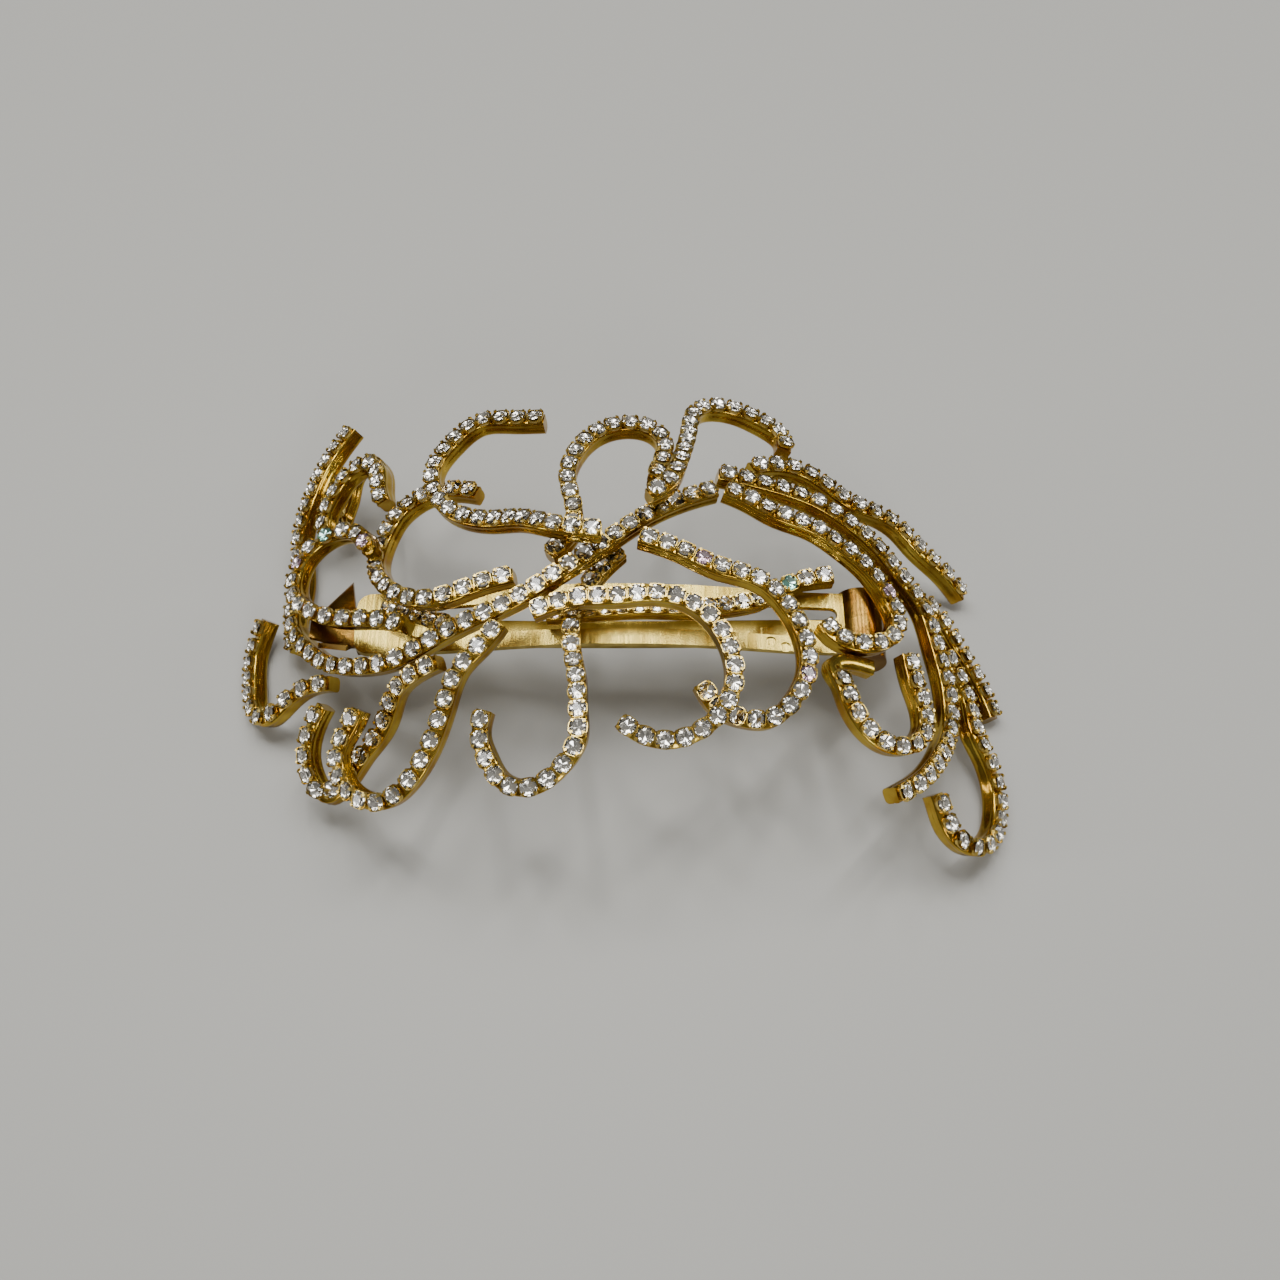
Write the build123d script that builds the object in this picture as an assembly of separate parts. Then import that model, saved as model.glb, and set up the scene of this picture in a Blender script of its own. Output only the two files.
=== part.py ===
from build123d import *
import os
from collections import namedtuple
from math import asin, copysign, cos, pi, radians, sin, sqrt

# A hair barrette: curled metal bands on edge, each with a chain of cut stones along its top,
# soldered where they cross and carried on a sprung clip. It lies on a table, clip downwards.
# +X runs to the right along the clip, +Y away from the wearer's view, +Z up; the table is Z = 0.

# Spray: the bands lie on one gently arched surface, the level of the stones' faces.
spray_length = 100.0
unit = spray_length / 100     # the route tables below are in these
crown_height = 26.3 * unit    # the arched surface's highest point above the table
arch_radius = 66.0 * unit     # the arch along the clip
arch_centre_x = -2.5 * unit
side_radius = 107.0 * unit    # the gentler arch across the clip
side_centre_y = -3.0 * unit
arch_twist = -0.0016 / unit   # lowers one diagonal and raises the other, per mm of X and Y
front_lean = 2.0              # how much more than the surface's slope the near bands lean out

# Bands and stones
band_width = 2.0
band_depth = 2.2
band_bevel = 0.5              # the rolled lower edges
seat_depth = 0.9              # from a stone's face down to the band's top edge
solder_gap = 0.25             # between two bands where one crosses over the other
level_step = seat_depth + band_depth + solder_gap
stone_pitch = 2.44            # from stone to stone along a chain
stone_diameter = 2.06
stone_height = 0.7
crown_share = 0.3             # of the stone's height, above its girdle
table_share = 0.6             # of the stone's diameter
stone_sides = 8

# Clip: an arched slotted plate with a barrel hinge at its right end and a catch at its left
plate_centre_x = -2.8 * unit
plate_centre_y = -4.4 * unit
plate_half_length = 34.6 * unit       # from the crown of its arch to either end of the arch
plate_width = 9.0
plate_thickness = 0.8
plate_crown_z = crown_height - 11.1   # top of the plate at mid length
plate_drop = 2.8 * unit               # how far its ends lie below its middle
plate_corner = 2.0
rail_width = 2.25
slot_left_x = -31.0 * unit
slot_right_x = 21.5 * unit
slot_tail_width = 2.0
slot_bridge = 3.2             # from the slot's narrow end, beside the far rail, to the hinge's axis
dimple_radius = 0.7
dimple_depth = 0.25
dimple_places = [(17.0, -3.2), (18.9, -3.9)]
arm_width = 3.6
arm_thickness = 1.0
arm_drop = -0.4               # its ends stand a little higher than its middle
arm_tip_x = -38.2 * unit
barrel_x = 29.2 * unit
barrel_z = plate_crown_z - 4.8
arm_crown_z = barrel_z - 0.5  # top of the closed arm at mid length
barrel_radius = 3.1
barrel_wall = 0.7
barrel_length = 9.8
barrel_end = 0.8              # thickness of the closed ends that carry the pin
barrel_open_from = 177        # degrees from +X, round the barrel's axis, where the arm swings out
barrel_open_to = 276
eye_radius = 1.5
pin_radius = 0.6
pin_head = 0.3                # how far the pin stands out of the barrel's ends
running_gap = 0.06            # between the pin and the arm's eye
fixed_gap = 0.03              # between pieces that are soldered or riveted together
swing_gap = 0.35              # between the closed arm and the catch
catch_length = 9.0
catch_width = 5.8
catch_thickness = 0.75
catch_tip_width = 3.0
guide_length = 2.2            # the two ears that guide the closed arm's tip
guide_depth = 2.6
guide_wall = 0.7
wing_length = 4.6
wing_height = 4.3
wing_thickness = 0.7
wing_lean = 34.0              # degrees that each squeeze wing leans outwards

Knot = namedtuple("Knot", "x y level")
Strand = namedtuple("Strand", "route stones bare", defaults=[True, 0])

# Each strand's route in plan, from its root to its tip: x and y in hundredths of the spray's
# length, and the level in crossings above (+) or below (-) the arched surface. Then whether its
# stones are cut here, and how many pitches of bare band follow its last stone.
ROUTES = {
    "spine": Strand([
        Knot(-48.0, 1.5, 0), Knot(-47.5, -2.5, 0), Knot(-45.0, -6.5, 0), Knot(-41.0, -10.5, 0),
        Knot(-36.5, -12.5, 0), Knot(-31.5, -13.0, 0), Knot(-26.5, -11.5, 0), Knot(-21.0, -9.5, 0),
        Knot(-15.5, -7.5, 0), Knot(-10.0, -4.0, 0), Knot(-5.0, -0.5, 0), Knot(0.5, 4.0, 0),
        Knot(6.0, 7.5, 0), Knot(10.0, 9.5, 0)], True),
    "left_hook": Strand([
        Knot(-34.5, 2.8, 0.8), Knot(-35.5, 5.0, 0.7), Knot(-38.0, 7.0, 0.7), Knot(-41.0, 7.2, 0.8),
        Knot(-43.2, 5.2, 1), Knot(-44.5, 2.3, 1), Knot(-44.0, -1.0, 1), Knot(-41.5, -4.0, 1),
        Knot(-38.5, -6.0, 0.8), Knot(-33.5, -7.5, 0.6), Knot(-29.0, -9.5, 0.6)], False),
    "left_stem": Strand([
        Knot(-42.5, 30.5, 0), Knot(-46.0, 25.0, 0), Knot(-48.0, 18.5, 0), Knot(-50.0, 13.5, -0.3),
        Knot(-51.0, 8.0, -0.9), Knot(-50.5, 2.0, -0.7), Knot(-49.5, -4.0, -0.6)], False),
    "left_inner_loop": Strand([
        Knot(-45.5, 12.5, -0.3), Knot(-45.0, 15.0, -0.1), Knot(-43.5, 17.5, 0),
        Knot(-41.5, 20.5, 0), Knot(-39.0, 21.0, 0), Knot(-36.5, 18.5, 0), Knot(-36.0, 15.0, 0),
        Knot(-35.5, 12.5, -0.2)], False),
    "left_outer_loop": Strand([
        Knot(-46.0, 14.5, -1.3), Knot(-46.3, 17.5, -1.2), Knot(-45.3, 20.5, -1.1),
        Knot(-43.5, 24.3, -0.8), Knot(-41.3, 25.3, -0.8), Knot(-39.3, 23.0, -1.0),
        Knot(-38.8, 19.5, -1.1), Knot(-38.3, 16.5, -1.1)], True),
    "upper_left_loop": Strand([
        Knot(-23.0, 13.0, -1), Knot(-27.5, 14.5, -1), Knot(-31.0, 14.5, -1), Knot(-33.5, 11.5, -0.6),
        Knot(-35.2, 8.0, -0.5), Knot(-35.7, 3.5, -0.3), Knot(-33.2, -1.8, 0.2), Knot(-29.5, -5.3, 0.4),
        Knot(-25.5, -6.5, 0.4), Knot(-21.0, -5.0, 0.1), Knot(-16.0, -4.0, 0)], True),
    "upper_middle_hook": Strand([
        Knot(-13.0, 22.0, 0), Knot(-17.5, 22.5, 0), Knot(-22.0, 23.0, 0), Knot(-25.5, 20.0, 0),
        Knot(-28.0, 15.5, 0), Knot(-27.5, 11.5, 0), Knot(-25.0, 7.5, 0), Knot(-20.5, 5.0, 0),
        Knot(-15.0, 3.0, 0.6), Knot(-9.0, 0.0, 1.1), Knot(-4.5, -0.5, 1)], True),
    "upper_curl": Strand([
        Knot(-11.5, -1.5, 0), Knot(-10.0, 0.0, 0), Knot(-8.5, 2.5, 0), Knot(-8.5, 6.0, 0),
        Knot(-9.5, 10.5, 0), Knot(-8.5, 15.0, 0), Knot(-5.5, 19.0, 0), Knot(-1.5, 20.5, 0),
        Knot(2.0, 19.5, 0), Knot(3.5, 16.0, 0), Knot(2.5, 12.5, 0), Knot(2.0, 10.5, 0)], True),
    "top_curl": Strand([
        Knot(1.0, 5.0, 1), Knot(3.0, 6.5, 1), Knot(5.0, 11.5, 0.8), Knot(6.5, 19.0, 0.2),
        Knot(8.5, 25.0, 0), Knot(12.5, 26.0, 0), Knot(17.0, 24.5, 0), Knot(20.0, 22.0, 0),
        Knot(20.0, 19.5, 0)], True),
    "right_sweep": Strand([
        Knot(10.5, 12.5, 0), Knot(15.5, 12.0, 0), Knot(20.0, 11.5, 0), Knot(24.5, 10.5, 0),
        Knot(28.5, 8.5, 0), Knot(32.0, 6.0, 0), Knot(35.0, 2.5, 0), Knot(38.0, -1.0, 0),
        Knot(39.5, -6.5, 0), Knot(40.5, -12.0, 0), Knot(40.5, -17.0, 0), Knot(38.0, -22.5, 0.3),
        Knot(34.0, -27.5, 0.6), Knot(30.0, -30.5, 0.8)], True),
    "right_hook": Strand([
        Knot(11.3, 9.9, 0), Knot(14.5, 8.7, 0), Knot(18.0, 7.0, 0), Knot(23.0, 6.0, 0), Knot(27.0, 4.0, 0),
        Knot(30.5, 1.5, 0), Knot(33.0, -2.0, 0), Knot(34.0, -5.5, 0), Knot(32.0, -9.0, -0.1),
        Knot(29.0, -10.0, -0.3), Knot(26.5, -9.0, -0.6), Knot(25.0, -6.5, -0.9)], True),
    "right_inner_loop": Strand([
        Knot(35.0, -10.0, 0), Knot(35.5, -13.5, 0), Knot(36.5, -17.0, 0), Knot(36.5, -20.0, 0),
        Knot(34.0, -23.0, 0), Knot(30.5, -23.5, 0), Knot(27.5, -21.5, 0), Knot(26.0, -18.5, 0),
        Knot(25.5, -16.0, -0.1), Knot(25.5, -13.5, -0.4), Knot(28.0, -12.5, -0.5),
        Knot(31.0, -12.5, -0.5)], False, 3),
    "right_tendril": Strand([
        Knot(15.0, 14.5, 0), Knot(19.0, 16.0, 0), Knot(22.5, 16.0, 0), Knot(25.5, 14.5, 0),
        Knot(29.0, 12.5, 0), Knot(33.0, 12.5, 0), Knot(36.5, 11.5, 0), Knot(39.3, 9.8, -0.1),
        Knot(43.4, 7.9, -0.1), Knot(47.0, 6.2, -0.2)], False),
    "right_edge": Strand([
        Knot(39.5, 1.0, -0.3), Knot(41.5, 0.0, -0.3), Knot(43.5, -2.5, -0.3), Knot(45.5, -5.0, -0.3),
        Knot(47.5, -8.5, -0.2), Knot(48.5, -13.0, 0)], False),
    "right_outer_loop": Strand([
        Knot(42.0, -6.0, -0.3), Knot(43.5, -8.5, -0.3), Knot(45.0, -11.5, -0.3),
        Knot(45.0, -17.0, -0.1),
        Knot(46.5, -20.5, 0), Knot(47.5, -24.5, 0), Knot(47.0, -28.5, 0), Knot(44.5, -32.5, 0),
        Knot(41.5, -33.5, 0), Knot(39.0, -32.0, 0), Knot(38.0, -29.5, 0), Knot(37.5, -28.0, 0)],
        True),
    "lower_right_hook": Strand([
        Knot(0.0, 1.0, 0), Knot(5.5, -1.0, 0), Knot(10.0, -3.0, 0), Knot(15.0, -4.0, 0),
        Knot(18.5, -7.0, 0), Knot(20.5, -11.0, 0), Knot(21.0, -15.0, 0), Knot(19.0, -20.0, -0.1),
        Knot(16.5, -22.5, -0.4), Knot(13.5, -22.5, -0.8), Knot(10.0, -21.0, -1),
        Knot(8.0, -18.0, -1)], True),
    "lower_middle_hook": Strand([
        Knot(-13.5, -9.5, 0), Knot(-8.0, -8.0, 0), Knot(-3.5, -8.0, 0), Knot(1.5, -7.5, 0),
        Knot(6.5, -8.5, 0), Knot(10.0, -12.0, 0), Knot(11.5, -17.5, 0.1), Knot(10.5, -21.5, 0.2),
        Knot(7.5, -25.0, 0.1), Knot(3.5, -26.5, 0), Knot(-0.5, -25.5, 0), Knot(-2.5, -24.0, 0)],
        True),
    "middle_bar": Strand([
        Knot(-13.5, -6.0, -2.2), Knot(-5.5, -5.5, -2.3), Knot(1.5, -5.0, -2.3),
        Knot(9.0, -5.0, -2.1), Knot(14.0, -4.0, -2), Knot(18.5, -2.5, -1.7),
        Knot(22.0, 0.0, -1.5), Knot(27.0, 1.5, -1)], False),
    "lower_curl": Strand([
        Knot(-2.4, 1.0, -1), Knot(-4.7, -1.4, -1), Knot(-6.5, -3.8, -1), Knot(-8.5, -7.5, -1),
        Knot(-9.0, -12.5, -1), Knot(-8.0, -17.5, -0.6), Knot(-7.5, -22.5, -0.2),
        Knot(-7.5, -26.5, 0), Knot(-9.5, -29.5, 0), Knot(-13.0, -31.5, 0), Knot(-16.5, -30.5, 0),
        Knot(-18.5, -27.5, 0), Knot(-19.5, -24.5, 0), Knot(-19.0, -21.5, 0)], True),
    "lower_left_curl": Strand([
        Knot(-17.5, -10.5, 0), Knot(-19.5, -13.0, 0), Knot(-22.5, -16.0, 0), Knot(-24.0, -20.0, 0),
        Knot(-25.5, -24.5, 0), Knot(-28.0, -28.5, 0), Knot(-31.0, -30.5, 0), Knot(-35.0, -29.5, 0),
        Knot(-38.0, -26.0, 0), Knot(-38.5, -22.5, 0), Knot(-37.0, -20.0, 0),
        Knot(-36.0, -18.0, 0)], True),
    "lower_left_loop": Strand([
        Knot(-25.5, -14.5, 0), Knot(-28.0, -15.0, -0.1), Knot(-32.0, -16.5, -0.5),
        Knot(-35.0, -20.0, -1.1), Knot(-38.0, -23.0, -1.1), Knot(-40.5, -25.5, -1.1),
        Knot(-42.0, -27.0, -0.7), Knot(-43.5, -24.5, -0.3), Knot(-43.5, -21.5, 0),
        Knot(-43.0, -18.5, 0), Knot(-41.5, -16.0, 0)], False),
    "left_end_curl": Strand([
        Knot(-41.0, -13.0, -0.2), Knot(-44.5, -12.5, 0), Knot(-47.5, -13.5, 0.1),
        Knot(-50.0, -14.5, 0.2), Knot(-52.0, -12.5, 0.3), Knot(-53.0, -9.0, 0.3),
        Knot(-53.5, -3.5, 0.3), Knot(-52.0, 1.0, 0.3)], False),
    "left_rung": Strand([
        Knot(-35.0, -3.5, -0.7), Knot(-31.5, -5.0, -0.8), Knot(-29.0, -6.5, -0.8),
        Knot(-26.5, -8.0, -0.7), Knot(-25.0, -8.5, -0.7)], False),
}


def arch_point(x, y, rise):
    """Point at plan position x, y, `rise` above the arched surface, and the bands' upright."""
    half = sqrt(arch_radius ** 2 - (x - arch_centre_x) ** 2)
    offset_y = y - side_centre_y
    z = crown_height - arch_radius + half - offset_y ** 2 / (2 * side_radius) + arch_twist * x * y
    slope_x = (x - arch_centre_x) / half - arch_twist * y
    slope_y = offset_y / side_radius - arch_twist * x
    normal = Vector(slope_x, slope_y, 1).normalized()
    lean = front_lean if offset_y < 0 else 1
    upright = Vector(slope_x, slope_y * lean, 1).normalized()
    return Vector(x, y, z) + normal * rise, upright


def even_steps(route, spacing):
    """Plan points about `spacing` apart on a smooth curve through a route's knots."""
    knots = [Vector(knot.x * unit, knot.y * unit, knot.level * level_step) for knot in route]
    curve = Spline(*knots)
    count = max(3, round(curve.length / spacing))
    return [curve.position_at(index / count) for index in range(count + 1)]


def frames_along(route, spacing):
    """(point, sideways, up) at even steps: the point lies at the level of the stones' faces."""
    plan = even_steps(route, spacing)
    raised = [arch_point(step.X, step.Y, step.Z) for step in plan]
    frames = []
    for index, (point, upright) in enumerate(raised):
        before = raised[max(index - 1, 0)][0]
        after = raised[min(index + 1, len(raised) - 1)][0]
        sideways = upright.cross(after - before).normalized()
        up = (after - before).cross(sideways).normalized()
        frames.append((point, sideways, up))
    return frames


def band(route):
    """One strand's metal: a flat-topped band on edge with bevelled lower edges."""
    half = band_width / 2
    top = -seat_depth
    foot = top - band_depth
    corners = [
        (half, top), (half, foot + band_bevel), (half - band_bevel, foot),
        (band_bevel - half, foot), (-half, foot + band_bevel), (-half, top)]
    frames = frames_along(route, stone_pitch)
    rings = [
        [point + sideways * across + up * rise for across, rise in corners]
        for point, sideways, up in frames]
    rails = [Spline(*[ring[index] for ring in rings]) for index in range(len(corners))]
    walls = [
        Face.make_surface_from_curves(rail, rails[(index + 1) % len(rails)])
        for index, rail in enumerate(rails)]
    ends = [Face(Wire.make_polygon(ring, close=True)) for ring in (rings[0], rings[-1])]
    return Solid(Shell(walls + ends))


def cut_stone():
    """Round stone with an eight-sided table, crown facets and a pointed pavilion; face at Z = 0."""
    girdle_radius = stone_diameter / 2
    table_radius = girdle_radius * table_share
    girdle_z = -stone_height * crown_share
    crown = loft([
        Face(Wire.make_polygon(ring_points(table_radius, 0), close=True)),
        Face(Wire.make_polygon(ring_points(girdle_radius, girdle_z), close=True))], ruled=True)
    tip = Vertex(0, 0, -stone_height)
    girdle = Face(Wire.make_polygon(ring_points(girdle_radius, girdle_z), close=True))
    pavilion = loft([girdle, tip], ruled=True)
    return crown + pavilion


def ring_points(radius, z):
    """Corners of a regular ring round the Z axis."""
    return [
        Vector(radius * cos(2 * pi * side / stone_sides), radius * sin(2 * pi * side / stone_sides), z)
        for side in range(stone_sides)]


def stone_chain(strand, stone):
    """The stones along one strand, each upright on the band."""
    frames = frames_along(strand.route, stone_pitch)
    seats = list(zip(frames, frames[1:]))
    seats = seats[:len(seats) - strand.bare]
    stones = []
    for (start, side_a, up_a), (end, side_b, up_b) in seats:
        seat = Plane(origin=(start + end) * 0.5, x_dir=side_a + side_b, z_dir=up_a + up_b)
        stones.append(seat.location * stone)
    return Compound(stones)


def arched_edge(half_length, drop, z):
    """Edge of a shallow arch about X = 0: a convex middle and ends that flatten out."""
    radius = ((half_length / 2) ** 2 + (drop / 2) ** 2) / abs(drop)
    turn = asin(half_length / 2 / radius)
    lift = copysign(radius, drop)
    quarter_x = half_length - radius * sin(turn / 2)
    quarter_z = z - drop + lift * (1 - cos(turn / 2))
    left = ThreePointArc(
        (-half_length, z - drop), (-quarter_x, quarter_z), (-half_length / 2, z - drop / 2))
    middle = ThreePointArc((-half_length / 2, z - drop / 2), (0, z), (half_length / 2, z - drop / 2))
    right = ThreePointArc(
        (half_length / 2, z - drop / 2), (quarter_x, quarter_z), (half_length, z - drop))
    return left + middle + right


def arched_strip(half_length, drop, crown_z, thickness, width):
    """Strip of even thickness along an arched edge, about X = 0 and Y = 0."""
    top = arched_edge(half_length, drop, crown_z)
    foot = arched_edge(half_length, drop, crown_z - thickness)
    sides = [
        Line((side, crown_z - drop), (side, crown_z - drop - thickness))
        for side in (-half_length, half_length)]
    profile = make_face(Plane.XZ * (top + foot + sides))
    return extrude(profile, width / 2, both=True)


def along_y(shape):
    """Turn a shape so that what lay along Z lies along Y."""
    return Rot(90, 0, 0) * shape


def clip_plate():
    """Arched plate with a long slot, rounded corners and two dimples, coped to the barrel."""
    strip = Pos(plate_centre_x, 0, 0) * arched_strip(
        plate_half_length, plate_drop, plate_crown_z, plate_thickness, plate_width)
    left_x = plate_centre_x - plate_half_length
    outline = extrude(
        Pos((left_x + barrel_x) / 2, 0) * RectangleRounded(barrel_x - left_x, plate_width, plate_corner),
        plate_crown_z + plate_thickness)
    slot_width = plate_width - 2 * rail_width
    slot_tail_x = barrel_x - slot_bridge
    slot = Pos((slot_left_x + slot_right_x) / 2, 0) * SlotOverall(
        slot_right_x - slot_left_x, slot_width)
    tail_y = (slot_width - slot_tail_width) / 2
    tail = Pos(slot_tail_x / 2, tail_y) * SlotOverall(slot_tail_x, slot_tail_width)
    cut = extrude(slot + tail, plate_crown_z + plate_thickness)
    cope = Pos(barrel_x, 0, barrel_z) * along_y(Cylinder(barrel_radius + fixed_gap, plate_width))
    plate = (strip & outline) - cut - cope
    for x, y in dimple_places:
        plate -= Pos(x, y, plate_top(x)) * Cylinder(dimple_radius, 2 * dimple_depth)
    return plate


def plate_top(x):
    """Height of the plate's top on the arch's convex middle or its flattening ends."""
    run = abs(x - plate_centre_x)
    radius = ((plate_half_length / 2) ** 2 + (plate_drop / 2) ** 2) / plate_drop
    if run < plate_half_length / 2:
        return plate_crown_z - radius + sqrt(radius ** 2 - run ** 2)
    rest = plate_half_length - run
    return plate_crown_z - plate_drop + radius - sqrt(radius ** 2 - rest ** 2)


def hinge_barrel():
    """Rolled barrel at the plate's right end, closed at both ends and open where the arm swings."""
    barrel = Cylinder(barrel_radius, barrel_length)
    barrel -= Cylinder(barrel_radius - barrel_wall, barrel_length - 2 * barrel_end)
    barrel -= Cylinder(pin_radius + fixed_gap, barrel_length)
    reach = 2 * barrel_radius
    mouth_angles = [barrel_open_from, (barrel_open_from + barrel_open_to) / 2, barrel_open_to]
    corners = [(0, 0)] + [
        (reach * cos(radians(angle)), reach * sin(radians(angle))) for angle in mouth_angles]
    mouth = extrude(
        make_face(Polyline(*corners, close=True)), barrel_length / 2 - barrel_end, both=True)
    return Pos(barrel_x, 0, barrel_z) * along_y(barrel - mouth)


def hinge_pin():
    """Pin through the barrel's ends and the arm's eye."""
    return Pos(barrel_x, 0, barrel_z) * along_y(Cylinder(pin_radius, barrel_length + 2 * pin_head))


def clasp_arm():
    """Narrow arm under the plate's slot, with an eye on the hinge pin."""
    half_length = (barrel_x - arm_tip_x) / 2
    strip = Pos(arm_tip_x + half_length, 0, 0) * arched_strip(
        half_length, arm_drop, arm_crown_z, arm_thickness, arm_width)
    eye = Pos(barrel_x, 0, barrel_z) * along_y(Cylinder(eye_radius, arm_width))
    bore = Pos(barrel_x, 0, barrel_z) * along_y(Cylinder(pin_radius + running_gap, arm_width))
    return strip + eye - bore


def catch():
    """Tongue under the plate's left end, with two leaning squeeze wings and two guide ears."""
    left_x = plate_centre_x - plate_half_length
    top_z = plate_crown_z - plate_drop - plate_thickness - fixed_gap
    tip_x = left_x + catch_width / 2 - catch_length
    tongue_plan = make_face(Polyline(
        (left_x + catch_width / 2, -catch_width / 2), (left_x + catch_width / 2, catch_width / 2),
        (left_x - 1, catch_width / 2), (tip_x, catch_tip_width / 2),
        (tip_x, -catch_tip_width / 2), (left_x - 1, -catch_width / 2), close=True))
    tongue = Pos(0, 0, top_z - catch_thickness) * extrude(tongue_plan, catch_thickness)
    guide_y = arm_width / 2 + swing_gap + guide_wall / 2
    guide = Pos(left_x + guide_length / 2, guide_y, top_z - guide_depth / 2) * Box(
        guide_length, guide_wall, guide_depth)
    lean = radians(wing_lean)
    wing_plane = Plane(
        origin=(left_x - swing_gap, catch_width / 2 - wing_thickness, top_z - catch_thickness / 2),
        x_dir=(-1, 0, 0), z_dir=(0, cos(lean), -sin(lean)))
    wing = extrude(
        wing_plane * make_face(Polyline((0, 0), (wing_length, 0), (0, wing_height), close=True)),
        wing_thickness)
    side = guide + wing
    return tongue + side + mirror(side, about=Plane.XZ)


def clip_pieces():
    """The clip's pieces by node name, at the clip's place."""
    pieces = {
        "top_plate": clip_plate(),
        "hinge_barrel": hinge_barrel(),
        "hinge_pin": hinge_pin(),
        "clasp_arm": clasp_arm(),
        "catch": catch()}
    return {node: Pos(0, plate_centre_y, 0) * piece for node, piece in pieces.items()}


def all_pieces():
    """Every piece of the barrette by node name, with the origin at its bottom centre."""
    pieces = clip_pieces()
    stone = cut_stone()
    for name, strand in ROUTES.items():
        pieces[f"{name}_band"] = band(strand.route)
        if strand.stones:
            pieces[f"{name}_stones"] = stone_chain(strand, stone)
    box = Compound(list(pieces.values())).bounding_box()
    place = Pos(-box.center().X, -box.center().Y, -box.min.Z)
    return {node: place * piece for node, piece in pieces.items()}


os.makedirs("parts", exist_ok=True)
for node, piece in all_pieces().items():
    export_step(piece, f"parts/{node}.step")
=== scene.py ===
import random
from collections import namedtuple
from math import cos, pi, radians, sin

import bpy
import numpy as np
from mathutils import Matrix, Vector


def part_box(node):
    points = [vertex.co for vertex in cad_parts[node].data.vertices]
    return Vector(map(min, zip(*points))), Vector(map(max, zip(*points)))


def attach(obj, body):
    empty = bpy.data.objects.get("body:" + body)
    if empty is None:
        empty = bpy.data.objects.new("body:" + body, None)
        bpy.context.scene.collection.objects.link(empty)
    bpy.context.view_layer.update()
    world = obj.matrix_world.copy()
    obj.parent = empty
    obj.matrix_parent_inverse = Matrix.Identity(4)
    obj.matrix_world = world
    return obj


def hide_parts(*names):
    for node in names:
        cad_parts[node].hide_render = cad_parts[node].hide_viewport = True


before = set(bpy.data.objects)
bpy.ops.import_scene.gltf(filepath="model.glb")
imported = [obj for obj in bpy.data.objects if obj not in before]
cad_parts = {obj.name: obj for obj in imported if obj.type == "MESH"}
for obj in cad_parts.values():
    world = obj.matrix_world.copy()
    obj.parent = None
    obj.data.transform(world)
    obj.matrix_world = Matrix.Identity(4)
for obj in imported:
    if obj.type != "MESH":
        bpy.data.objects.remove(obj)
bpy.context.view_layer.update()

# The barrette's lengths are in millimetres; the meshes, the floor and the lights are in metres.
METRE = 0.001

# The spray's arched surface, as the frame has it
spray_length = 100.0
crown_height = 26.3
arch_radius = 66.0
arch_centre_x = -2.5
side_radius = 107.0
side_centre_y = -3.0
arch_twist = -0.0016
front_lean = 2.0
band_width = 2.0
band_depth = 2.2
seat_depth = 0.9
solder_gap = 0.25
stone_pitch = 2.44
unit = spray_length / 100
level_step = seat_depth + band_depth + solder_gap

# The hinge pin's middle in the spray's own frame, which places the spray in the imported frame
pin_middle = np.array([29.2, -4.4, 10.4])

# Looks of the bands, cups and stones
curve_samples = 400           # points on a route's curve, from which its even steps are taken
band_step = 0.4               # between the rings of a band's mesh
edge_round = 0.14
groove_depth = 0.07
groove_reach = 3 * groove_depth
roll_round = 0.62             # radius of the rolled lower edge
roll_steps = 4
sharp_angle = 50.0            # degrees between two faces from which their edge shows sharp
cup_radius = 1.18             # half the width of a cup's rounded square
cup_squareness = 3            # 2 would be a circle
cup_corner = 1.31             # from its middle to its corners, where the prongs stand
cup_foot_radius = 1.0
cup_foot_sink = 0.02          # how far the cup goes into the band's top
cup_wall = 0.1
cup_rim = -0.3                # height of the cup's rim from the stone's face
cup_rim_height = 0.25         # of the cup's upright part
cup_inner_depth = 0.3
cup_sides = 16
prong_width = 0.5
prong_reach = 0.46            # how far a prong's tip bends in over the stone
prong_rise = 0.06
stone_radius = 1.08
table_radius = 0.6
girdle_drop = 0.26
stone_drop = 0.58
stone_sides = 16
stone_tilt = 10.0             # degrees, at most, that a stone sits askew
aqua_below = 0.02             # a stone whose draw falls below this has an aqua foil
rose_below = 0.035            # or else below this a rose one
deep_tone_at = 0.38           # where on the blotches' scale a metal has its deep tone
bright_tone_at = 0.62
dent_depth = 0.0002           # metres

Knot = namedtuple("Knot", "x y level")
Strand = namedtuple("Strand", "route stones bare", defaults=[True, 0])

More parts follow.
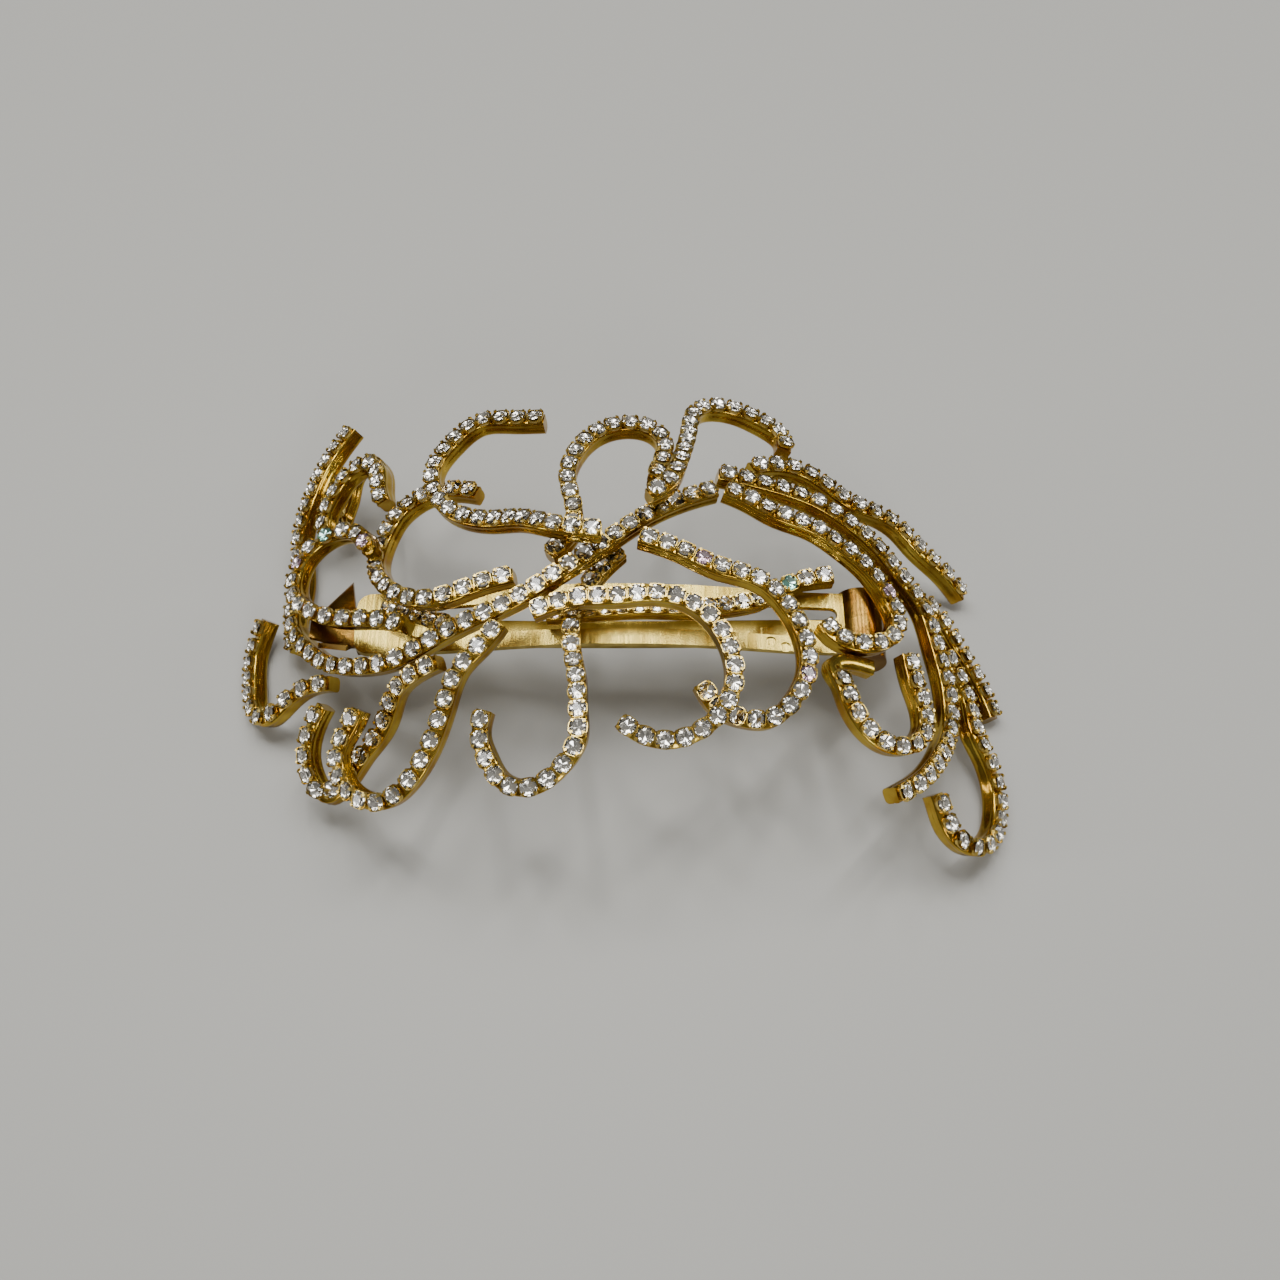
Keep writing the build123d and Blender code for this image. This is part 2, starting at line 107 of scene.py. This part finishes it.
# Each strand's route in plan, from its root to its tip: x and y in hundredths of the spray's
# length, and the level in crossings above (+) or below (-) the arched surface. Then whether the
# frame has its stones as solids, and how many pitches of bare band follow its last stone.
ROUTES = {
    "spine": Strand([
        Knot(-48.0, 1.5, 0), Knot(-47.5, -2.5, 0), Knot(-45.0, -6.5, 0), Knot(-41.0, -10.5, 0),
        Knot(-36.5, -12.5, 0), Knot(-31.5, -13.0, 0), Knot(-26.5, -11.5, 0), Knot(-21.0, -9.5, 0),
        Knot(-15.5, -7.5, 0), Knot(-10.0, -4.0, 0), Knot(-5.0, -0.5, 0), Knot(0.5, 4.0, 0),
        Knot(6.0, 7.5, 0), Knot(10.0, 9.5, 0)], True),
    "left_hook": Strand([
        Knot(-34.5, 2.8, 0.8), Knot(-35.5, 5.0, 0.7), Knot(-38.0, 7.0, 0.7), Knot(-41.0, 7.2, 0.8),
        Knot(-43.2, 5.2, 1), Knot(-44.5, 2.3, 1), Knot(-44.0, -1.0, 1), Knot(-41.5, -4.0, 1),
        Knot(-38.5, -6.0, 0.8), Knot(-33.5, -7.5, 0.6), Knot(-29.0, -9.5, 0.6)], False),
    "left_stem": Strand([
        Knot(-42.5, 30.5, 0), Knot(-46.0, 25.0, 0), Knot(-48.0, 18.5, 0), Knot(-50.0, 13.5, -0.3),
        Knot(-51.0, 8.0, -0.9), Knot(-50.5, 2.0, -0.7), Knot(-49.5, -4.0, -0.6)], False),
    "left_inner_loop": Strand([
        Knot(-45.5, 12.5, -0.3), Knot(-45.0, 15.0, -0.1), Knot(-43.5, 17.5, 0),
        Knot(-41.5, 20.5, 0), Knot(-39.0, 21.0, 0), Knot(-36.5, 18.5, 0), Knot(-36.0, 15.0, 0),
        Knot(-35.5, 12.5, -0.2)], False),
    "left_outer_loop": Strand([
        Knot(-46.0, 14.5, -1.3), Knot(-46.3, 17.5, -1.2), Knot(-45.3, 20.5, -1.1),
        Knot(-43.5, 24.3, -0.8), Knot(-41.3, 25.3, -0.8), Knot(-39.3, 23.0, -1.0),
        Knot(-38.8, 19.5, -1.1), Knot(-38.3, 16.5, -1.1)], True),
    "upper_left_loop": Strand([
        Knot(-23.0, 13.0, -1), Knot(-27.5, 14.5, -1), Knot(-31.0, 14.5, -1), Knot(-33.5, 11.5, -0.6),
        Knot(-35.2, 8.0, -0.5), Knot(-35.7, 3.5, -0.3), Knot(-33.2, -1.8, 0.2), Knot(-29.5, -5.3, 0.4),
        Knot(-25.5, -6.5, 0.4), Knot(-21.0, -5.0, 0.1), Knot(-16.0, -4.0, 0)], True),
    "upper_middle_hook": Strand([
        Knot(-13.0, 22.0, 0), Knot(-17.5, 22.5, 0), Knot(-22.0, 23.0, 0), Knot(-25.5, 20.0, 0),
        Knot(-28.0, 15.5, 0), Knot(-27.5, 11.5, 0), Knot(-25.0, 7.5, 0), Knot(-20.5, 5.0, 0),
        Knot(-15.0, 3.0, 0.6), Knot(-9.0, 0.0, 1.1), Knot(-4.5, -0.5, 1)], True),
    "upper_curl": Strand([
        Knot(-11.5, -1.5, 0), Knot(-10.0, 0.0, 0), Knot(-8.5, 2.5, 0), Knot(-8.5, 6.0, 0),
        Knot(-9.5, 10.5, 0), Knot(-8.5, 15.0, 0), Knot(-5.5, 19.0, 0), Knot(-1.5, 20.5, 0),
        Knot(2.0, 19.5, 0), Knot(3.5, 16.0, 0), Knot(2.5, 12.5, 0), Knot(2.0, 10.5, 0)], True),
    "top_curl": Strand([
        Knot(1.0, 5.0, 1), Knot(3.0, 6.5, 1), Knot(5.0, 11.5, 0.8), Knot(6.5, 19.0, 0.2),
        Knot(8.5, 25.0, 0), Knot(12.5, 26.0, 0), Knot(17.0, 24.5, 0), Knot(20.0, 22.0, 0),
        Knot(20.0, 19.5, 0)], True),
    "right_sweep": Strand([
        Knot(10.5, 12.5, 0), Knot(15.5, 12.0, 0), Knot(20.0, 11.5, 0), Knot(24.5, 10.5, 0),
        Knot(28.5, 8.5, 0), Knot(32.0, 6.0, 0), Knot(35.0, 2.5, 0), Knot(38.0, -1.0, 0),
        Knot(39.5, -6.5, 0), Knot(40.5, -12.0, 0), Knot(40.5, -17.0, 0), Knot(38.0, -22.5, 0.3),
        Knot(34.0, -27.5, 0.6), Knot(30.0, -30.5, 0.8)], True),
    "right_hook": Strand([
        Knot(11.3, 9.9, 0), Knot(14.5, 8.7, 0), Knot(18.0, 7.0, 0), Knot(23.0, 6.0, 0), Knot(27.0, 4.0, 0),
        Knot(30.5, 1.5, 0), Knot(33.0, -2.0, 0), Knot(34.0, -5.5, 0), Knot(32.0, -9.0, -0.1),
        Knot(29.0, -10.0, -0.3), Knot(26.5, -9.0, -0.6), Knot(25.0, -6.5, -0.9)], True),
    "right_inner_loop": Strand([
        Knot(35.0, -10.0, 0), Knot(35.5, -13.5, 0), Knot(36.5, -17.0, 0), Knot(36.5, -20.0, 0),
        Knot(34.0, -23.0, 0), Knot(30.5, -23.5, 0), Knot(27.5, -21.5, 0), Knot(26.0, -18.5, 0),
        Knot(25.5, -16.0, -0.1), Knot(25.5, -13.5, -0.4), Knot(28.0, -12.5, -0.5),
        Knot(31.0, -12.5, -0.5)], False, 3),
    "right_tendril": Strand([
        Knot(15.0, 14.5, 0), Knot(19.0, 16.0, 0), Knot(22.5, 16.0, 0), Knot(25.5, 14.5, 0),
        Knot(29.0, 12.5, 0), Knot(33.0, 12.5, 0), Knot(36.5, 11.5, 0), Knot(39.3, 9.8, -0.1),
        Knot(43.4, 7.9, -0.1), Knot(47.0, 6.2, -0.2)], False),
    "right_edge": Strand([
        Knot(39.5, 1.0, -0.3), Knot(41.5, 0.0, -0.3), Knot(43.5, -2.5, -0.3), Knot(45.5, -5.0, -0.3),
        Knot(47.5, -8.5, -0.2), Knot(48.5, -13.0, 0)], False),
    "right_outer_loop": Strand([
        Knot(42.0, -6.0, -0.3), Knot(43.5, -8.5, -0.3), Knot(45.0, -11.5, -0.3),
        Knot(45.0, -17.0, -0.1),
        Knot(46.5, -20.5, 0), Knot(47.5, -24.5, 0), Knot(47.0, -28.5, 0), Knot(44.5, -32.5, 0),
        Knot(41.5, -33.5, 0), Knot(39.0, -32.0, 0), Knot(38.0, -29.5, 0), Knot(37.5, -28.0, 0)],
        True),
    "lower_right_hook": Strand([
        Knot(0.0, 1.0, 0), Knot(5.5, -1.0, 0), Knot(10.0, -3.0, 0), Knot(15.0, -4.0, 0),
        Knot(18.5, -7.0, 0), Knot(20.5, -11.0, 0), Knot(21.0, -15.0, 0), Knot(19.0, -20.0, -0.1),
        Knot(16.5, -22.5, -0.4), Knot(13.5, -22.5, -0.8), Knot(10.0, -21.0, -1),
        Knot(8.0, -18.0, -1)], True),
    "lower_middle_hook": Strand([
        Knot(-13.5, -9.5, 0), Knot(-8.0, -8.0, 0), Knot(-3.5, -8.0, 0), Knot(1.5, -7.5, 0),
        Knot(6.5, -8.5, 0), Knot(10.0, -12.0, 0), Knot(11.5, -17.5, 0.1), Knot(10.5, -21.5, 0.2),
        Knot(7.5, -25.0, 0.1), Knot(3.5, -26.5, 0), Knot(-0.5, -25.5, 0), Knot(-2.5, -24.0, 0)],
        True),
    "middle_bar": Strand([
        Knot(-13.5, -6.0, -2.2), Knot(-5.5, -5.5, -2.3), Knot(1.5, -5.0, -2.3),
        Knot(9.0, -5.0, -2.1), Knot(14.0, -4.0, -2), Knot(18.5, -2.5, -1.7),
        Knot(22.0, 0.0, -1.5), Knot(27.0, 1.5, -1)], False),
    "lower_curl": Strand([
        Knot(-2.4, 1.0, -1), Knot(-4.7, -1.4, -1), Knot(-6.5, -3.8, -1), Knot(-8.5, -7.5, -1),
        Knot(-9.0, -12.5, -1), Knot(-8.0, -17.5, -0.6), Knot(-7.5, -22.5, -0.2),
        Knot(-7.5, -26.5, 0), Knot(-9.5, -29.5, 0), Knot(-13.0, -31.5, 0), Knot(-16.5, -30.5, 0),
        Knot(-18.5, -27.5, 0), Knot(-19.5, -24.5, 0), Knot(-19.0, -21.5, 0)], True),
    "lower_left_curl": Strand([
        Knot(-17.5, -10.5, 0), Knot(-19.5, -13.0, 0), Knot(-22.5, -16.0, 0), Knot(-24.0, -20.0, 0),
        Knot(-25.5, -24.5, 0), Knot(-28.0, -28.5, 0), Knot(-31.0, -30.5, 0), Knot(-35.0, -29.5, 0),
        Knot(-38.0, -26.0, 0), Knot(-38.5, -22.5, 0), Knot(-37.0, -20.0, 0),
        Knot(-36.0, -18.0, 0)], True),
    "lower_left_loop": Strand([
        Knot(-25.5, -14.5, 0), Knot(-28.0, -15.0, -0.1), Knot(-32.0, -16.5, -0.5),
        Knot(-35.0, -20.0, -1.1), Knot(-38.0, -23.0, -1.1), Knot(-40.5, -25.5, -1.1),
        Knot(-42.0, -27.0, -0.7), Knot(-43.5, -24.5, -0.3), Knot(-43.5, -21.5, 0),
        Knot(-43.0, -18.5, 0), Knot(-41.5, -16.0, 0)], False),
    "left_end_curl": Strand([
        Knot(-41.0, -13.0, -0.2), Knot(-44.5, -12.5, 0), Knot(-47.5, -13.5, 0.1),
        Knot(-50.0, -14.5, 0.2), Knot(-52.0, -12.5, 0.3), Knot(-53.0, -9.0, 0.3),
        Knot(-53.5, -3.5, 0.3), Knot(-52.0, 1.0, 0.3)], False),
    "left_rung": Strand([
        Knot(-35.0, -3.5, -0.7), Knot(-31.5, -5.0, -0.8), Knot(-29.0, -6.5, -0.8),
        Knot(-26.5, -8.0, -0.7), Knot(-25.0, -8.5, -0.7)], False),
}

pin_low, pin_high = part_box("hinge_pin")
spray_shift = (np.array(pin_low) + np.array(pin_high)) / 2 / METRE - pin_middle


def smooth_route(route, spacing):
    """Plan points at even steps on a natural cubic curve through a route's knots."""
    knots = np.array([(k.x * unit, k.y * unit, k.level * level_step) for k in route])
    chords = np.linalg.norm(np.diff(knots, axis=0), axis=1)
    at = np.concatenate([[0], np.cumsum(chords)])
    size = len(knots)
    system = np.eye(size)
    right = np.zeros((size, 3))
    for row in range(1, size - 1):
        before, after = chords[row - 1], chords[row]
        system[row, row - 1:row + 2] = before, 2 * (before + after), after
        rise_after = (knots[row + 1] - knots[row]) / after
        rise_before = (knots[row] - knots[row - 1]) / before
        right[row] = 6 * (rise_after - rise_before)
    bends = np.linalg.solve(system, right)

    def point(where):
        row = min(max(int(np.searchsorted(at, where)) - 1, 0), size - 2)
        gap = chords[row]
        left, ahead = at[row + 1] - where, where - at[row]
        return (
            (bends[row] * left ** 3 + bends[row + 1] * ahead ** 3) / (6 * gap)
            + (knots[row] / gap - bends[row] * gap / 6) * left
            + (knots[row + 1] / gap - bends[row + 1] * gap / 6) * ahead)

    fine = np.array([point(where) for where in np.linspace(0, at[-1], curve_samples)])
    run = np.concatenate([[0], np.cumsum(np.linalg.norm(np.diff(fine, axis=0), axis=1))])
    count = max(3, round(run[-1] / spacing))
    steps = np.linspace(0, run[-1], count + 1)
    return np.array([[np.interp(step, run, fine[:, axis]) for axis in range(3)] for step in steps])


def arch_point(x, y, rise):
    """Point above the arched surface at plan position x, y, and the bands' upright there."""
    half = (arch_radius ** 2 - (x - arch_centre_x) ** 2) ** 0.5
    across = y - side_centre_y
    z = crown_height - arch_radius + half - across ** 2 / (2 * side_radius) + arch_twist * x * y
    slope_x = (x - arch_centre_x) / half - arch_twist * y
    slope_y = across / side_radius - arch_twist * x
    lean = front_lean if across < 0 else 1
    normal = unit_of([slope_x, slope_y, 1])
    upright = unit_of([slope_x, slope_y * lean, 1])
    return np.array([x, y, z]) + normal * rise, upright


def unit_of(vector):
    """The vector at length 1."""
    vector = np.asarray(vector, float)
    return vector / np.linalg.norm(vector)


def frames_along(route, spacing):
    """(point, sideways, up, ahead) at even steps along a strand, at the level of its stones' faces."""
    raised = [arch_point(*step) for step in smooth_route(route, spacing)]
    frames = []
    for index, (point, upright) in enumerate(raised):
        before = raised[max(index - 1, 0)][0]
        after = raised[min(index + 1, len(raised) - 1)][0]
        ahead = unit_of(after - before)
        sideways = unit_of(np.cross(upright, ahead))
        frames.append((point, sideways, np.cross(ahead, sideways), ahead))
    return frames


def piece(name, points, faces, materials, slots=None, smooth=True):
    """Mesh object of the spray, riding on its body."""
    mesh = bpy.data.meshes.new(name)
    placed = (np.array(points) + spray_shift) * METRE
    mesh.from_pydata(placed.tolist(), [], faces)
    for material in materials:
        mesh.materials.append(material)
    if slots:
        mesh.polygons.foreach_set("material_index", slots)
    mesh.polygons.foreach_set("use_smooth", [smooth] * len(faces))
    mesh.update()
    made = bpy.data.objects.new(name, mesh)
    bpy.context.scene.collection.objects.link(made)
    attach(made, "spray")
    return made


def band_outline():
    """Half of a band's section from the middle of its top to the middle of its rolled foot."""
    half = band_width / 2
    top = -seat_depth
    foot = top - band_depth
    middle = (top + foot + roll_round) / 2
    outline = [
        (0, top), (half - edge_round, top), (half, top - edge_round), (half, middle + groove_reach),
        (half - groove_depth, middle), (half, middle - groove_reach)]
    for turn in range(roll_steps + 1):
        angle = radians(90 * turn / roll_steps)
        outline.append((half - roll_round * (1 - cos(angle)), foot + roll_round * (1 - sin(angle))))
    return outline + [(0, foot)]


def band_mesh(name, route, material):
    """One strand's metal band, with closed ends."""
    right_half = band_outline()
    section = right_half + [(-across, rise) for across, rise in reversed(right_half[1:-1])]
    points, faces = [], []
    frames = frames_along(route, band_step)
    for point, sideways, up, ahead in frames:
        points += [point + sideways * across + up * rise for across, rise in section]
    size = len(section)
    for ring in range(len(frames) - 1):
        for corner in range(size):
            here, there = ring * size + corner, ring * size + (corner + 1) % size
            faces.append((here, there, there + size, here + size))
    faces.append(tuple(range(size)))
    faces.append(tuple(reversed(range(len(points) - size, len(points)))))
    made = piece(name, points, faces, [material])
    made.modifiers.new("sharp_edges", "EDGE_SPLIT").split_angle = radians(sharp_angle)
    return made


def seats_along(strand):
    """(middle, sideways, up, ahead) of each stone on a strand."""
    frames = frames_along(strand.route, stone_pitch)
    seats = []
    for start, end in list(zip(frames, frames[1:]))[:len(frames) - 1 - strand.bare]:
        middle = (start[0] + end[0]) / 2
        directions = [unit_of(start[axis] + end[axis]) for axis in (1, 2, 3)]
        seats.append((middle, *directions))
    return seats


def placed_at(seat, local):
    """A local point (ahead, sideways, up) at a seat."""
    middle, sideways, up, ahead = seat
    return middle + ahead * local[0] + sideways * local[1] + up * local[2]


def cup(seat, points, faces):
    """One stone's cup: a tapered, rounded square ring with four prongs bent in over the stone."""
    start = len(points)
    rings = [
        (cup_foot_radius, -seat_depth - cup_foot_sink), (cup_radius, cup_rim - cup_rim_height),
        (cup_radius, cup_rim), (cup_radius - cup_wall, cup_rim),
        (cup_radius - cup_wall, cup_rim - cup_inner_depth)]
    for radius, rise in rings:
        for side in range(cup_sides):
            angle = 2 * pi * side / cup_sides
            spread = abs(cos(angle)) ** cup_squareness + abs(sin(angle)) ** cup_squareness
            square = radius / spread ** (1 / cup_squareness)
            points.append(placed_at(seat, (square * cos(angle), square * sin(angle), rise)))
    for ring in range(len(rings) - 1):
        for side in range(cup_sides):
            here = start + ring * cup_sides + side
            there = start + ring * cup_sides + (side + 1) % cup_sides
            faces.append((here, there, there + cup_sides, here + cup_sides))
    for quarter in range(4):
        angle = pi / 4 + pi / 2 * quarter
        out, along = (cos(angle), sin(angle)), (-sin(angle), cos(angle))
        start = len(points)
        # Radius, height and share of the prong's width, from its foot outside the cup to its tip
        spine = [
            (cup_corner, cup_rim - 0.35, 1.0), (cup_corner + 0.02, cup_rim + 0.1, 1.0),
            (cup_corner - 0.1, prong_rise, 0.8), (cup_corner - prong_reach, prong_rise - 0.03, 0.35),
            (cup_corner - prong_reach, prong_rise - 0.14, 0.35),
            (cup_corner - 0.22, prong_rise - 0.2, 0.8), (cup_corner - 0.16, cup_rim, 1.0)]
        for radius, rise, share in spine:
            for side in (-0.5, 0.5):
                reach = side * prong_width * share
                local_x = out[0] * radius + along[0] * reach
                local_y = out[1] * radius + along[1] * reach
                points.append(placed_at(seat, (local_x, local_y, rise)))
        rows = len(spine)
        for row in range(rows):
            here, there = start + 2 * row, start + 2 * ((row + 1) % rows)
            faces.append((here, here + 1, there + 1, there))
        faces.append(tuple(start + 2 * row for row in range(rows)))
        faces.append(tuple(start + 2 * row + 1 for row in reversed(range(rows))))


def stone(seat, points, faces, slots, pavilion, chance):
    """One cut stone: an eight-sided table, 24 crown facets and 16 foiled ones to its tip."""
    start = len(points)
    turn = chance.uniform(0, pi / 4)
    lean_a, lean_b = (radians(chance.uniform(-stone_tilt, stone_tilt)) for _ in range(2))

    def add(radius, angle, rise):
        x, y = radius * cos(angle), radius * sin(angle)
        points.append(placed_at(seat, (x, y, rise + x * lean_a + y * lean_b)))

    for side in range(stone_sides // 2):
        add(table_radius, turn + 4 * pi * side / stone_sides, 0)
    for side in range(stone_sides):
        add(stone_radius, turn + 2 * pi * side / stone_sides, -girdle_drop)
    add(0, 0, -stone_drop)
    table = [start + side for side in range(stone_sides // 2)]
    girdle = [start + stone_sides // 2 + side for side in range(stone_sides)]
    tip = len(points) - 1
    crown = [tuple(table)]
    for side, corner in enumerate(table):
        left, middle, right = girdle[2 * side - 1], girdle[2 * side], girdle[2 * side + 1]
        crown += [(corner, left, middle), (corner, middle, right)]
        crown.append((corner, right, table[(side + 1) % len(table)]))
    back = [(tip, girdle[(side + 1) % stone_sides], girdle[side]) for side in range(stone_sides)]
    faces += crown + back
    slots += [0] * len(crown) + [pavilion] * len(back)


def principled(name, colour, metallic, roughness, **others):
    """Material with one Principled shader."""
    material = bpy.data.materials.new(name)
    material.use_nodes = True
    shader = material.node_tree.nodes["Principled BSDF"]
    shader.inputs["Base Color"].default_value = (*colour, 1)
    shader.inputs["Metallic"].default_value = metallic
    shader.inputs["Roughness"].default_value = roughness
    for socket, value in others.items():
        shader.inputs[socket.replace("_", " ")].default_value = value
    return material


def worn_metal(name, bright, deep, roughness, grain, bump, stretch=(1, 1, 1)):
    """Metal whose colour wanders between two tones, with a fine uneven surface."""
    material = principled(name, bright, 1.0, roughness)
    tree = material.node_tree
    shader = tree.nodes["Principled BSDF"]
    place = tree.nodes.new("ShaderNodeTexCoord")
    scale = tree.nodes.new("ShaderNodeMapping")
    scale.inputs["Scale"].default_value = stretch
    blotches = tree.nodes.new("ShaderNodeTexNoise")
    blotches.inputs["Scale"].default_value = grain
    blotches.inputs["Detail"].default_value = 4
    tones = tree.nodes.new("ShaderNodeValToRGB")
    tones.color_ramp.elements[0].position = deep_tone_at
    tones.color_ramp.elements[0].color = (*deep, 1)
    tones.color_ramp.elements[1].position = bright_tone_at
    tones.color_ramp.elements[1].color = (*bright, 1)
    fine = tree.nodes.new("ShaderNodeTexNoise")
    fine.inputs["Scale"].default_value = grain * 3
    dents = tree.nodes.new("ShaderNodeBump")
    dents.inputs["Strength"].default_value = bump
    dents.inputs["Distance"].default_value = dent_depth
    link = tree.links.new
    link(place.outputs["Object"], scale.inputs["Vector"])
    link(scale.outputs["Vector"], blotches.inputs["Vector"])
    link(scale.outputs["Vector"], fine.inputs["Vector"])
    link(blotches.outputs["Fac"], tones.inputs["Fac"])
    link(tones.outputs["Color"], shader.inputs["Base Color"])
    link(fine.outputs["Fac"], dents.inputs["Height"])
    link(dents.outputs["Normal"], shader.inputs["Normal"])
    return material


band_gold = worn_metal("band_gold", (0.55, 0.38, 0.055), (0.34, 0.18, 0.02), 0.18, 260, 0.2)
cup_gold = worn_metal("cup_gold", (0.68, 0.51, 0.15), (0.48, 0.32, 0.06), 0.25, 500, 0.2)
clip_gold = worn_metal(
    "clip_gold", (0.60, 0.46, 0.12), (0.40, 0.28, 0.055), 0.27, 150, 0.3, (3, 0.2, 1))
# Darker copy of the clip's gold with painted shade: the catch and the hinge barrel sit in shadow under the
# spray, and that shade is painted into their colour.
painted_shade_gold = worn_metal("painted_shade_gold", (0.32, 0.19, 0.04), (0.17, 0.08, 0.014), 0.24, 200, 0.3)
glass = principled("stone_glass", (1.0, 1.0, 0.99), 0, 0.0, Transmission_Weight=1.0, IOR=1.5)
foil = principled("stone_foil", (0.98, 0.95, 0.89), 1.0, 0.07)
foil_aqua = principled("stone_foil_aqua", (0.62, 0.93, 0.84), 1.0, 0.06)
foil_rose = principled("stone_foil_rose", (0.93, 0.76, 0.84), 1.0, 0.06)


def dress_strand(name, strand):
    """The band, cups and stones of one strand, standing for its solids."""
    metal = band_mesh(f"{name}_metal", strand.route, band_gold)
    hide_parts(f"{name}_band")
    chance = random.Random(name)
    cup_points, cup_faces = [], []
    points, faces, slots = [], [], []
    for seat in seats_along(strand):
        cup(seat, cup_points, cup_faces)
        flash = chance.random()
        pavilion = 2 if flash < aqua_below else 3 if flash < rose_below else 1
        stone(seat, points, faces, slots, pavilion, chance)
    cups = piece(f"{name}_cups", cup_points, cup_faces, [cup_gold], smooth=False)
    stones = piece(
        f"{name}_cut_stones", points, faces, [glass, foil, foil_aqua, foil_rose], slots, smooth=False)
    if strand.stones:
        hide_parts(f"{name}_stones")


for name, strand in ROUTES.items():
    dress_strand(name, strand)

# The catch and the hinge barrel take the gold with painted shade; the other clip parts take the plain clip
# gold.
for node, material in {
        "top_plate": clip_gold, "clasp_arm": clip_gold, "catch": painted_shade_gold,
        "hinge_barrel": painted_shade_gold, "hinge_pin": clip_gold}.items():
    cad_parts[node].data.materials.clear()
    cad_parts[node].data.materials.append(material)


# Floor, light and camera
view_elevation = 61.0         # degrees above the floor
view_distance = 197.0
view_focus = 1400 / 1280      # focal length over the picture's width
sensor_width = 36.0
floor_size = 6.0
strip_count = 5
strip_start_x = -0.3
strip_spacing = 0.13
horizon_colour = (0.28, 0.275, 0.26, 1)
overhead_colour = (1.0, 0.98, 0.93, 1)
room_strength = 0.28


def area_light(name, place, aim, size, power, colour=(1, 1, 1)):
    """Soft rectangular light at a place, in metres, facing a point."""
    light = bpy.data.lights.new(name, "AREA")
    light.shape = "RECTANGLE"
    light.size, light.size_y = size
    light.energy = power
    light.color = colour
    lamp = bpy.data.objects.new(name, light)
    lamp.location = place
    direction = unit_of(np.array(aim) - np.array(place))
    lamp.rotation_euler = to_euler(direction)
    bpy.context.scene.collection.objects.link(lamp)


def to_euler(direction):
    """Rotation that turns an object's -Z axis to a direction."""
    return Vector(direction).to_track_quat("-Z", "Y").to_euler()


floor_mesh = bpy.data.meshes.new("floor")
half_floor = floor_size / 2
floor_mesh.from_pydata(
    [(-half_floor, -half_floor, 0), (half_floor, -half_floor, 0), (half_floor, half_floor, 0),
     (-half_floor, half_floor, 0)], [], [(0, 1, 2, 3)])
floor_mesh.materials.append(principled("floor_grey", (0.36, 0.355, 0.33), 0, 0.55))
floor = bpy.data.objects.new("floor", floor_mesh)
bpy.context.scene.collection.objects.link(floor)

for strip in range(strip_count):
    strip_x = strip_start_x + strip_spacing * strip
    area_light(f"overhead_strip_{strip}", (strip_x, 0.22, 0.7), (0, 0, 0), (0.045, 0.5), 1.4)
area_light("front_fill", (0.2, -0.6, 0.4), (0, 0, 0), (0.25, 0.2), 1.3)
area_light("left_strip", (-0.6, -0.1, 0.25), (0, 0, 0.01), (0.1, 0.4), 1.1)
area_light("right_strip", (0.6, 0.15, 0.3), (0, 0, 0.01), (0.1, 0.4), 1.0)

# The room's soft light is dim at the horizon and bright overhead.
world = bpy.data.worlds.new("room")
world.use_nodes = True
backdrop = world.node_tree.nodes["Background"]
backdrop.inputs["Strength"].default_value = room_strength
heights = world.node_tree.nodes.new("ShaderNodeTexCoord")
split = world.node_tree.nodes.new("ShaderNodeSeparateXYZ")
ramp = world.node_tree.nodes.new("ShaderNodeValToRGB")
ramp.color_ramp.elements[0].color = horizon_colour
ramp.color_ramp.elements[1].color = overhead_colour
ramp.color_ramp.elements[1].position = 0.9
world.node_tree.links.new(heights.outputs["Generated"], split.inputs["Vector"])
world.node_tree.links.new(split.outputs["Z"], ramp.inputs["Fac"])
world.node_tree.links.new(ramp.outputs["Color"], backdrop.inputs["Color"])
bpy.context.scene.world = world

camera_data = bpy.data.cameras.new("camera")
camera_data.sensor_width = sensor_width
camera_data.lens = sensor_width * view_focus
camera_data.clip_start = 0.005
camera = bpy.data.objects.new("camera", camera_data)
elevation = radians(view_elevation)
camera.location = (
    spray_shift[0] * METRE,
    (spray_shift[1] - view_distance * cos(elevation)) * METRE,
    (spray_shift[2] + view_distance * sin(elevation)) * METRE)
camera.rotation_euler = (pi / 2 - elevation, 0, 0)
bpy.context.scene.collection.objects.link(camera)
bpy.context.scene.camera = camera
